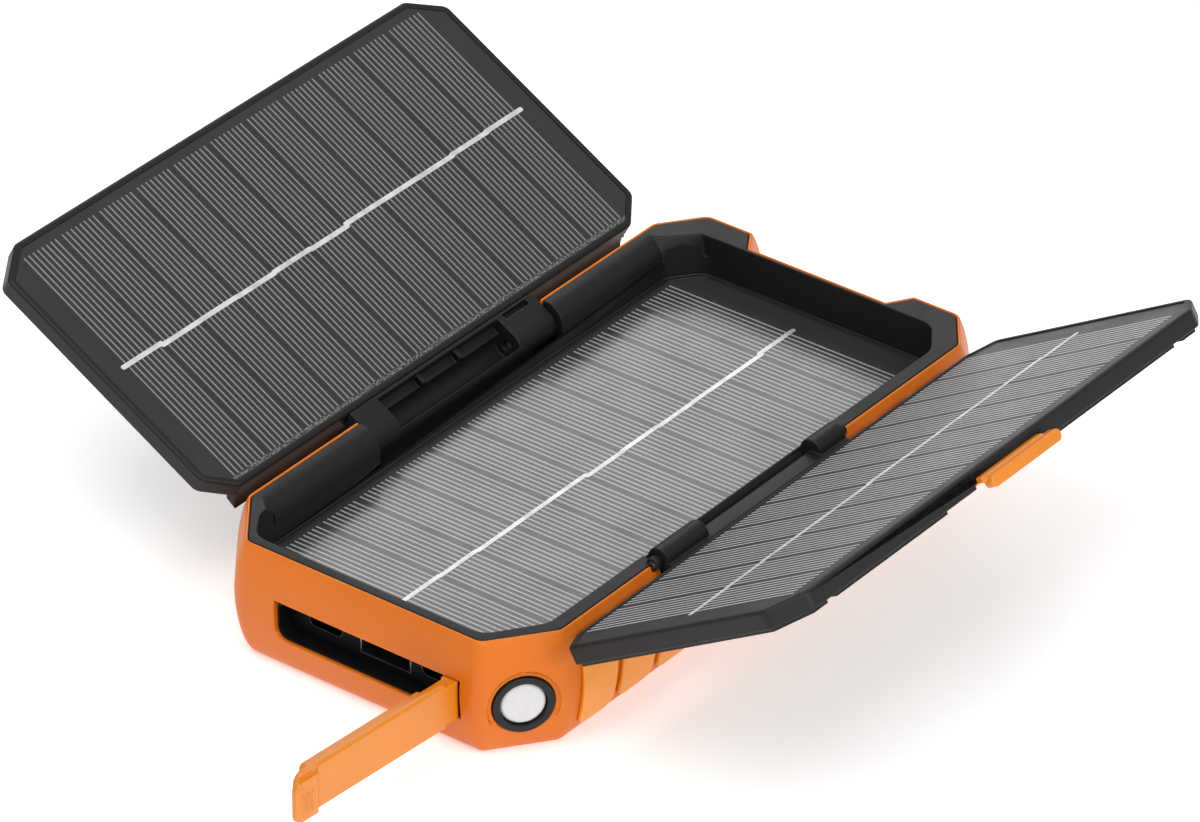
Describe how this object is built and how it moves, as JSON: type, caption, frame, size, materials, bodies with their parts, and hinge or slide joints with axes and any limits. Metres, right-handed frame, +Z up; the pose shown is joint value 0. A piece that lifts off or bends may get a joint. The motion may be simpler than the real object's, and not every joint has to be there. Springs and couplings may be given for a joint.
{
  "type": "solar phone charger",
  "caption": "Foldable solar power bank: a rugged body with a panel in its tray, hinged solar leaves that fold over it, USB sockets behind a swinging cover, and a flashlight.",
  "frame": {"origin": "centre of the body's bottom face, on which it stands", "axes": "+Z up, -Y towards the USB port end, +Y towards the notched end, +X towards the outer leaf's hinge side"},
  "size_m": [0.2115, 0.2113, 0.063],
  "materials": {
    "orange_shell_plastic": "fine moulded texture",
    "orange_grip_rubber": "satin soft-touch",
    "black_plastic": "fine moulded texture",
    "solar_laminate": "satin laminate over printed cells",
    "silver_print": "printed silver",
    "steel": "turned",
    "dark_steel": "black oxide",
    "socket_steel": "plated",
    "board_green": "solder mask",
    "battery_foil": "foil pouch",
    "lens_clear": "clear moulded",
    "reflector_chrome": "vacuum plated"
  },
  "bodies": {
    "base": {"orange_shell": "orange_shell_plastic", "right_grip_pads": "orange_grip_rubber", "left_grip_pads": "orange_grip_rubber", "bottom_cover": "orange_shell_plastic", "bottom_screws": "dark_steel", "tray": "black_plastic", "base_panel": "solar_laminate", "base_panel_busbar": "silver_print", "inner_hinge_pins": "steel", "outer_hinge_pins": "steel", "port_bezel": "black_plastic", "usb_a_socket_shell": "socket_steel", "usb_a_socket_tongue": "black_plastic", "usb_c_socket_left_shell": "socket_steel", "usb_c_socket_left_tongue": "black_plastic", "usb_c_socket_right_shell": "socket_steel", "usb_c_socket_right_tongue": "black_plastic", "circuit_board": "board_green", "board_components": "black_plastic", "battery_cells": "battery_foil", "flashlight_ring": "black_plastic", "flashlight_lens": "lens_clear", "flashlight_reflector": "reflector_chrome", "flashlight_led_board": "board_green", "button_switch": "black_plastic", "charge_light_lenses": "lens_clear", "port_cover_pin": "steel"},
    "inner_leaf": {"inner_leaf_frame": "black_plastic", "inner_leaf_panel": "solar_laminate", "inner_leaf_busbar": "silver_print", "inner_leaf_back_ribs": "black_plastic", "inner_hinge_bracket": "black_plastic"},
    "outer_leaf": {"outer_leaf_frame": "black_plastic", "outer_leaf_panel": "solar_laminate", "outer_leaf_busbar": "silver_print", "outer_leaf_back_ribs": "black_plastic", "outer_hinge_bracket": "black_plastic", "latch_pin": "steel", "latch_spring": "steel"},
    "latch": {"latch_clip": "orange_grip_rubber"},
    "port_cover": {"port_cover_skin": "orange_grip_rubber", "port_cover_plug": "orange_grip_rubber"},
    "button": {"power_button": "black_plastic"}
  },
  "joints": [
    {"name": "inner_leaf_hinge", "type": "hinge", "parent": "base", "child": "inner_leaf", "pos_m": [-0.03976, 0, 0.0225], "axis": [0, 1, 0], "range_deg": [-29.5, 150.5]},
    {"name": "outer_leaf_hinge", "type": "hinge", "parent": "base", "child": "outer_leaf", "pos_m": [0.0404, 0, 0.0277], "axis": [0, -1, 0], "range_deg": [-30.4, 149.6]},
    {"name": "port_cover_hinge", "type": "hinge", "parent": "base", "child": "port_cover", "pos_m": [0.02325, -0.0806, 0.0134], "axis": [0, 0, 1], "range_deg": [-86, 2]},
    {"name": "latch_hinge", "type": "hinge", "parent": "outer_leaf", "child": "latch", "pos_m": [0.10063, 0, 0.05831], "axis": [0, 1, 0], "range_deg": [0, 25], "stiffness_Nm_per_rad": 0.05, "springref_deg": -14.32},
    {"name": "power_button_press", "type": "slide", "parent": "base", "child": "button", "axis": [0.7948, 0.6069, 0], "range_m": [0, 0.0008], "stiffness_N_per_m": 600, "springref_m": -0.001}
  ]
}
